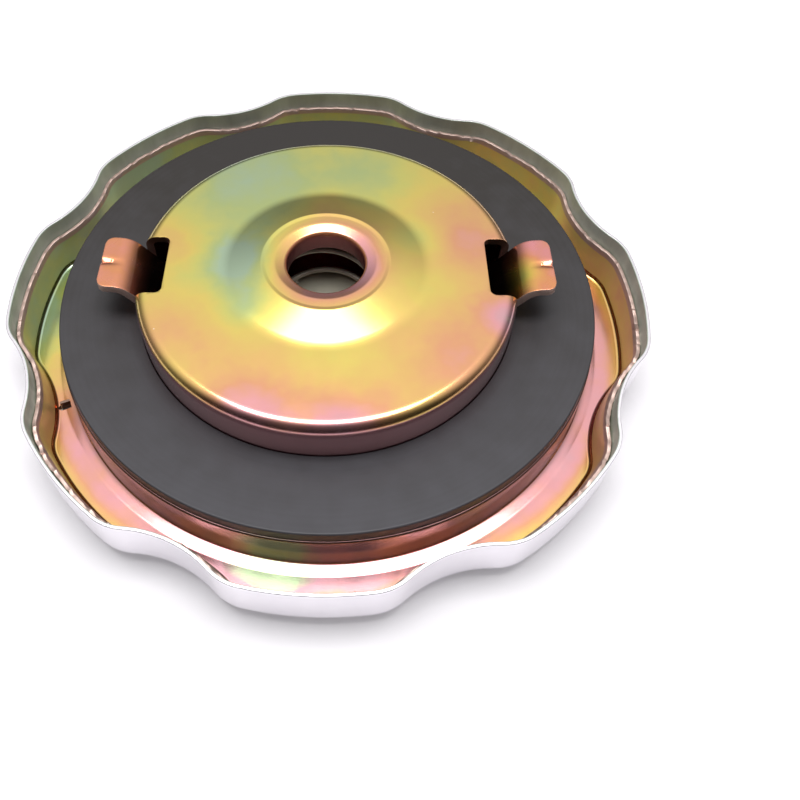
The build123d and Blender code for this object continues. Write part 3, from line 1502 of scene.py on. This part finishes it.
@dataclass
class RetainingCup:
    """Drawn cup with a raised crest round its centre hole and two notches for the arms.

    Attributes:
        radius: Outer radius.
        thickness: Sheet thickness.
        foot: Height of its foot.
        top: Height of its flat top.
        shoulder: Bend between its top and its wall, outside and inside.
        crest_rise: How far the crest stands over the top.
        crest_lines: Radius, drop under the crest and bend of each corner from the hole outwards.
        crest_foot: Radius and bend of the crest's foot.
        crest_under: Radius and bend of the crest's underside.
        hole_radius: Radius of the centre hole.
        collar_depth: Depth of the hole's collar under the crest.
        collar_round: Bend between the crest and the hole's collar.
        stain_and_shade_radius: Radius within which the collar has its stain and painted shade.
        notch_width: Width of a notch.
        notch_root: Distance of a notch's root from the axis.
        notch_floor: Height of a notch's floor.
        notch_corner: Radius of a notch's root corners.
        steps: Stations around the cup.
    """

    radius: float = 22.6
    thickness: float = 0.9
    foot: float = 2.45
    top: float = 11.95
    shoulder: tuple[float, float] = (1.5, 0.6)
    crest_rise: float = 1.05
    crest_lines: tuple[tuple[float, float, float], ...] = ((6.0, 0.06, 0.9), (7.1, 0.08, 0.5), (7.55, 0.0, 0.35))
    crest_foot: tuple[float, float] = (12.0, 5.0)
    crest_under: tuple[float, float] = (7.6, 1.2)
    hole_radius: float = 4.6
    collar_depth: float = 2.95
    collar_round: float = 0.5
    stain_and_shade_radius: float = 5.4
    notch_width: float = 8.8
    notch_root: float = 18.9
    notch_floor: float = 7.8
    notch_corner: float = 0.8
    steps: int = 384

    def section(self) -> list[Corner]:
        """Closed section of the cup.

        Returns:
            The section's points.
        """
        wall, top, crest = self.thickness, self.top, self.top + self.crest_rise
        hole, outside, low = self.hole_radius, self.radius, crest - self.collar_depth
        foot, foot_bend = self.crest_foot
        under, under_bend = self.crest_under
        corners = turned(
            (hole, low, SHEARED_ROUND),
            (hole, crest - self.collar_round, self.collar_round),
            *((radius, crest - drop, bend) for radius, drop, bend in self.crest_lines),
            (foot, top, foot_bend),
            (outside, top, self.shoulder[0]),
            (outside, self.foot, SHEARED_ROUND),
            (outside - wall, self.foot, SHEARED_ROUND),
            (outside - wall, top - wall, self.shoulder[1]),
            (foot, top - wall, foot_bend),
            (under, crest - wall, under_bend),
            (hole + wall, crest - self.collar_round - wall, 0.3),
            (hole + wall, low, SHEARED_ROUND),
        )
        return bent(corners, closed=True, turn=6.0, pitch=0.6)

    def notch_punch(self, side: int) -> Object:
        """Punch of one notch.

        Args:
            side: 1 towards +X, -1 towards -X.

        Returns:
            The punch.
        """
        half, corner, root, steps = self.notch_width / 2, self.notch_corner, self.notch_root, 6
        outside, over = root + 5.0, self.top + 2.0
        outline = [(outside, -half), (outside, half)]
        for start, way in ((90, 1), (180, -1)):
            centre = (root + corner, (half - corner) * way)
            for step in range(steps + 1):
                angle = math.radians(start + step * 90 / steps)
                outline.append((centre[0] + corner * math.cos(angle), centre[1] + corner * math.sin(angle)))
        outline = [(side * x, y) for x, y in outline]
        return prism(f"notch_punch_{side}", outline, self.notch_floor, over)

    def build(self, tree: PressedSheetTree) -> None:
        """Build, dress and seat the cup.

        Args:
            tree: The tree that turns its section.
        """
        gold = ChromateSteel(
            "chromate_cup",
            base=0.45,
            drift=(0.001, -0.002),
            cloud_size=6.0,
            ring=(4.8, 2.4, 0.34, 0.05),
            roughness=0.22,
            seed=9.0,
            foot=(11.1, 0.84),
            patches=(
                (-9.0, 14.0, 11.0, -0.36),
                (5.0, 16.0, 6.0, -0.22),
                (-10.5, 0.0, 4.2, -0.5),
                (-9.0, -6.5, 2.6, -0.25),
                (17.0, 4.0, 7.0, 0.25),
                (11.0, 4.5, 3.0, -0.25),
                (14.0, -13.0, 6.0, 0.22),
                (-8.0, -20.0, 5.5, 0.32),
                (2.0, -22.0, 5.0, 0.34),
                (-18.0, -10.0, 5.0, 0.16),
                (0.0, 9.5, 3.5, 0.25),
                (2.0, -13.5, 6.0, -0.1),
                (-18.0, 3.5, 4.5, 0.16),
                (12.5, -3.0, 4.0, -0.14),
                (0.0, 19.0, 5.0, 0.1),
                (20.5, -7.5, 3.0, 0.4),
            ),
        ).build()
        cup = tree.sweep("retaining_cup_skin", self.section(), Steps=self.steps, Finish=gold)
        punch(cup, [self.notch_punch(1), self.notch_punch(-1)])
        break_edges(cup, 0.08)
        tidy_normals(cup)
        even_shading(cup)
        stain = CollarStainAndShade("collar_stain_and_shade", self.top + self.crest_rise).build()
        # Painted shade: the notches' cut walls are dark brown, for the shade inside the notches.
        notch_shade = BrightPlate("notch_painted_shade", (0.30, 0.22, 0.18, 1), (0.14, 0.10, 0.09, 1), seed=15.0).build()
        spare = 0.1
        half, root, floor = self.notch_width / 2 + spare, self.notch_root - spare, self.notch_floor - spare

        def slot(place: Vector, normal: Vector) -> int:
            """2 in the hole's collar, 1 on the notches' cut walls, else 0.

            Args:
                place: A face's centre, in millimetres.
                normal: Its outward direction.

            Returns:
                The face's material slot.
            """
            if place.to_2d().length < self.stain_and_shade_radius and normal.z < 0.85:
                return 2
            return int(abs(place.x) > root and abs(place.y) < half and place.z > floor and abs(normal.z) < 0.4)

        paint(cup, [notch_shade, stain], slot)
        seat_on(cup, Body.CAP, "retaining_cup")


@dataclass
class LockingStrip:
    """Bent strip with a round pad in its middle and a crease pressed in each arm's tip.

    Attributes:
        thickness: Sheet thickness.
        width: Width of an arm.
        reach: Distance of a tip from the axis.
        knee: Distance of an arm's knee from the axis.
        foot: Distance of an arm's foot from the axis.
        bend: Bend at foot and knee, at the middle of the sheet.
        pad_radius: Radius of the pad.
        dull: Distance from the axis within which the pad's finish is dull.
        tip_from: Distance from the axis beyond which a steep face is a tip's cut end.
        floor: Height under the pad.
        knee_height: Height over the knee.
        tip_rise: How far a tip rises from its knee.
        tip_corner: Radius of a tip's corners in plan.
        crease: Length, depth and width of a tip's crease.
        columns: Facets across half the strip.
        crowd: How much the facets crowd towards the strip's edges, from 0 to 1.
        pitch: Longest step along the strip.
    """

    thickness: float = 1.0
    width: float = 7.8
    reach: float = 26.5
    knee: float = 23.7
    foot: float = 17.0
    bend: float = 2.4
    pad_radius: float = 7.2
    dull: float = 9.0
    tip_from: float = 25.0
    floor: float = 2.45
    knee_height: float = 12.25
    tip_rise: float = 0.2
    tip_corner: float = 1.1
    crease: tuple[float, float, float] = (2.6, 0.35, 0.9)
    columns: int = 12
    crowd: float = 0.35
    pitch: float = 0.22

    def centre_line(self) -> list[tuple[float, float]]:
        """Middle of the strip in side view, from the pad's middle to the right tip.

        Returns:
            Distance from the axis and height of each point.
        """
        middle = self.floor + self.thickness / 2
        high = self.knee_height - self.thickness / 2
        corners = [
            Corner(0.0, middle),
            Corner(self.foot, middle, self.bend),
            Corner(self.knee, high, self.bend),
            Corner(self.reach, high + self.tip_rise),
        ]
        return [(point.across, point.height) for point in bent(corners, turn=6.0, pitch=self.pitch)]

    def half_width(self, x: float, left: float) -> float:
        """Half the strip's width at a place.

        Args:
            x: Distance from the axis.
            left: Length that is left to the tip.

        Returns:
            Half the width.
        """
        half = self.width / 2
        if left < self.tip_corner:
            gone = self.tip_corner - left
            return half - self.tip_corner + math.sqrt(max(self.tip_corner**2 - gone**2, 0.0))
        if x < self.pad_radius:
            return max(half, math.sqrt(self.pad_radius**2 - x**2))
        return half

    def mesh(self, name: str) -> Mesh:
        """Mesh of the whole strip.

        Args:
            name: Name of the mesh.

        Returns:
            The mesh.
        """
        right = self.centre_line()
        run = [0.0]
        for a, b in zip(right, right[1:]):
            run.append(run[-1] + math.hypot(b[0] - a[0], b[1] - a[1]))
        stations = [(-x, z, s) for (x, z), s in zip(reversed(right[1:]), reversed(run[1:]))]
        stations += [(x, z, s) for (x, z), s in zip(right, run)]
        shares = [column / self.columns for column in range(-self.columns, self.columns + 1)]
        columns = [math.sin(math.pi / 2 * share) * self.crowd + share * (1 - self.crowd) for share in shares]
        deep, depth, wide = self.crease
        made = bmesh.new()
        skins: list[list[list[bmesh.types.BMVert]]] = [[], []]
        for index, (x, z, s) in enumerate(stations):
            back, ahead = stations[max(index - 1, 0)], stations[min(index + 1, len(stations) - 1)]
            lean = Vector((ahead[0] - back[0], ahead[1] - back[1])).normalized()
            up = Vector((-lean.y, lean.x))
            left = run[-1] - s
            half = self.half_width(abs(x), left)
            for skin, sign in ((0, 1), (1, -1)):
                row = []
                for c in columns:
                    y = c * half
                    press = max(0.0, 1 - abs(y) / (wide / 2)) * max(0.0, 1 - left / deep) * depth
                    off = sign * self.thickness / 2 - (press if skin == 0 else 0.0)
                    row.append(made.verts.new(((x + up.x * off) * MM, y * MM, (z + up.y * off) * MM)))
                skins[skin].append(row)
        rows, last = len(stations), len(columns) - 1
        for skin in skins:
            for i in range(rows - 1):
                for j in range(last):
                    made.faces.new((skin[i][j], skin[i + 1][j], skin[i + 1][j + 1], skin[i][j + 1]))
        top, under = skins
        for i in range(rows - 1):
            for j in (0, last):
                made.faces.new((top[i][j], top[i + 1][j], under[i + 1][j], under[i][j]))
        for j in range(last):
            for i in (0, rows - 1):
                made.faces.new((top[i][j], top[i][j + 1], under[i][j + 1], under[i][j]))
        return outward_mesh(name, made)

    def build(self) -> None:
        """Build, dress and seat the strip."""
        peach = ChromateSteel(
            "chromate_strip",
            base=0.70,
            cloud_size=3.0,
            roughness=0.26,
            seed=4.0,
            patches=((22.0, -1.0, 2.4, -0.42), (25.5, 2.5, 2.5, 0.1)),
            # Painted shade where the arms run down inside the cup.
            painted_shade_inside=22.6,
            depth=1.25,
        ).build()
        pad = BrightPlate("dull_pad", (0.50, 0.48, 0.38, 1), (0.34, 0.31, 0.25, 1), dents=0.8, seed=18.0, metal=0.1)
        strip = placed("locking_strip_skin", self.mesh("locking_strip_skin"))
        strip.data.materials.append(peach)
        break_edges(strip, 0.12, limit=50.0, segments=3)
        tidy_normals(strip)

        def slot(place: Vector, normal: Vector) -> int:
            """1 on the sheared edges, 2 on the pad, else 0.

            Args:
                place: A face's centre, in millimetres.
                normal: Its outward direction.

            Returns:
                The face's material slot.
            """
            if abs(normal.y) > 0.6 or (abs(normal.x) > 0.8 and abs(place.x) > self.tip_from):
                return 1
            return 2 if abs(place.x) < self.dull else 0

        paint(strip, [SHEARED_AND_HIGHLIGHT, pad.build()], slot)
        seat_on(strip, Body.LOCK, "locking_strip")


@dataclass
class CoilSpring:
    """Coil spring of round wire. The real spring shortens against the cup as the strip lifts, but this copy keeps its
    length.

    Attributes:
        joint: Joint whose lift is read.
    """

    joint: str = "lock_lift"

    def build(self) -> None:
        """Dress a copy of the spring."""
        wire = BrightPlate(
            "drawn_wire", (0.66, 0.62, 0.56, 1), (0.42, 0.38, 0.33, 1), roughness=0.4, dents=0.2, seed=6.0, metal=0.5
        ).build()
        low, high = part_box("coil_spring")
        joints = {joint["name"]: joint for joint in frame["record"]["behaviour"]["joints"]}
        lift = joints[self.joint]["range_m"][1]
        spring = placed("spring_wire", frame["nodes"]["coil_spring"].data.copy())
        tidy_normals(spring)
        spring.data.materials.clear()
        paint(spring, [wire], lambda place, normal: 0)
        seat_on(spring, Body.CAP, "coil_spring")
        keep = 1.0 - lift / (high[2] - low[2])
        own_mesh(spring)


# ---------------------------------------------------------------------------------------------------
# Studio
# ---------------------------------------------------------------------------------------------------


@dataclass
class Studio:
    """Pale floor, soft overhead light and the camera.

    Attributes:
        floor_size: Side of the floor, in metres.
        floor_glow: Light that the floor adds where the camera sees it.
        lamp_height: Distance of the overhead lamp, in metres.
        lamp_lean: How far the lamp leans to the far side, in degrees.
        lamp_size: Width and depth of the overhead lamp, in metres.
        lamp_power: Power of the overhead lamp, in watts.
        lens: Focal length of the camera, for a sensor 36 mm wide.
        shift: Sideways and upward shift of the lens.
        clip: Nearest and farthest distance that the camera sees, in metres.
        camera_place: Place of the camera, in millimetres.
        camera_axes: Directions to the camera's right, upwards and ahead.
    """

    floor_size: float = 3.0
    floor_glow: float = 0.12
    lamp_height: float = 0.42
    lamp_lean: float = 2.0
    lamp_size: tuple[float, float] = (0.34, 0.16)
    lamp_power: float = 1.3
    lens: float = 35.4334
    shift: tuple[float, float] = (0.09125, -0.05375)
    clip: tuple[float, float] = (0.005, 10.0)
    camera_place: tuple[float, float, float] = (2.13947, -62.82232, 80.74985)
    camera_axes: tuple[tuple[float, float, float], ...] = (
        (0.9997443, 0.0197232, -0.0110587),
        (-0.0095450, 0.8114562, 0.5843353),
        (-0.0204986, 0.5840804, -0.8114370),
    )

    def floor(self) -> None:
        """Pale floor under the cap, which keeps its shadow."""
        half = self.floor_size / 2
        mesh = bpy.data.meshes.new("studio_floor")
        mesh.from_pydata([(-half, -half, 0), (half, -half, 0), (half, half, 0), (-half, half, 0)], [], [(0, 1, 2, 3)])
        floor = placed("studio_floor", mesh)
        made = FinishTree("pale_floor")
        rays = made.tree.nodes.new("ShaderNodeLightPath").outputs
        seen = Term(made.tree, rays["Is Camera Ray"])
        for name in ("Is Glossy Ray", "Is Transmission Ray"):
            seen = seen.step("MAXIMUM", Term(made.tree, rays[name]))
        made.feed(Base_Color=(0.88, 0.86, 0.89, 1), Roughness=0.9, Specular_IOR_Level=0.0)
        made.feed(Emission_Color=(1.0, 1.0, 1.0, 1), Emission_Strength=seen * self.floor_glow)
        mesh.materials.append(made.material)

    def lamp(self) -> None:
        """Wide soft lamp overhead."""
        data = bpy.data.lights.new("overhead_lamp", "AREA")
        data.shape = "RECTANGLE"
        data.size, data.size_y = self.lamp_size
        data.energy = self.lamp_power
        lamp = placed("overhead_lamp", data)
        lean = math.radians(self.lamp_lean)
        lamp.location = Vector((0.0, math.sin(lean), math.cos(lean))) * self.lamp_height
        lamp.rotation_euler = (-lamp.location).to_track_quat("-Z", "Y").to_euler()

    def world(self) -> None:
        """Soft surroundings, pale overhead and dimmer towards the horizon and the near side."""
        world = bpy.data.worlds.new("studio_world")
        bpy.context.scene.world = world
        world.use_nodes = True
        tree = world.node_tree
        _, y, z = parts_of(tree, tree.nodes.new("ShaderNodeTexCoord").outputs["Generated"])
        levels = []
        for value, bounds in ((z, (0.2, 0.9, 0.2, 1.08)), (y, (-0.6, 0.15, 0.1, 1.0))):
            ramp = tree.nodes.new("ShaderNodeMapRange")
            ramp.interpolation_type = "SMOOTHSTEP"
            for socket, number in zip(ramp.inputs, (value, *bounds)):
                plug(socket, number)
            levels.append(Term(tree, ramp.outputs[0]))
        seen = Term(tree, tree.nodes.new("ShaderNodeLightPath").outputs["Is Camera Ray"])
        background = tree.nodes["Background"].inputs
        plug(background["Strength"], levels[0] * levels[1] * (1.0 - seen) + seen)
        plug(background["Color"], (1.0, 0.995, 0.99, 1))

    def camera(self) -> None:
        """Camera close above the near side."""
        data = bpy.data.cameras.new("camera")
        data.sensor_width = 36.0
        data.sensor_fit = "HORIZONTAL"
        data.lens = self.lens
        data.shift_x, data.shift_y = self.shift
        data.clip_start, data.clip_end = self.clip
        camera = placed("camera", data)
        right, up, ahead = map(Vector, self.camera_axes)
        turn = Matrix((right, up, -ahead)).transposed()
        camera.matrix_world = Matrix.Translation(Vector(self.camera_place) * MM) @ turn.to_4x4()
        bpy.context.scene.camera = camera

    def build(self) -> None:
        """Set up the studio."""
        self.floor()
        self.lamp()
        self.world()
        self.camera()
        bpy.context.scene.view_settings.view_transform = "Standard"
        LOG.info("studio: floor, lamp, world and camera")


def main() -> None:
    """Build the studio and every sub-assembly in order."""
    logging.basicConfig(level=logging.INFO, format="%(name)s %(message)s")
    Studio().build()
    tree = PressedSheetTree()
    skirt = GripSkirt()
    skirt.build_shell(tree)
    skirt.build_plate(tree)
    SealRing().build(tree)
    RetainingCup().build(tree)
    LockingStrip().build()
    CoilSpring().build()


if __name__ == "__main__":
    main()
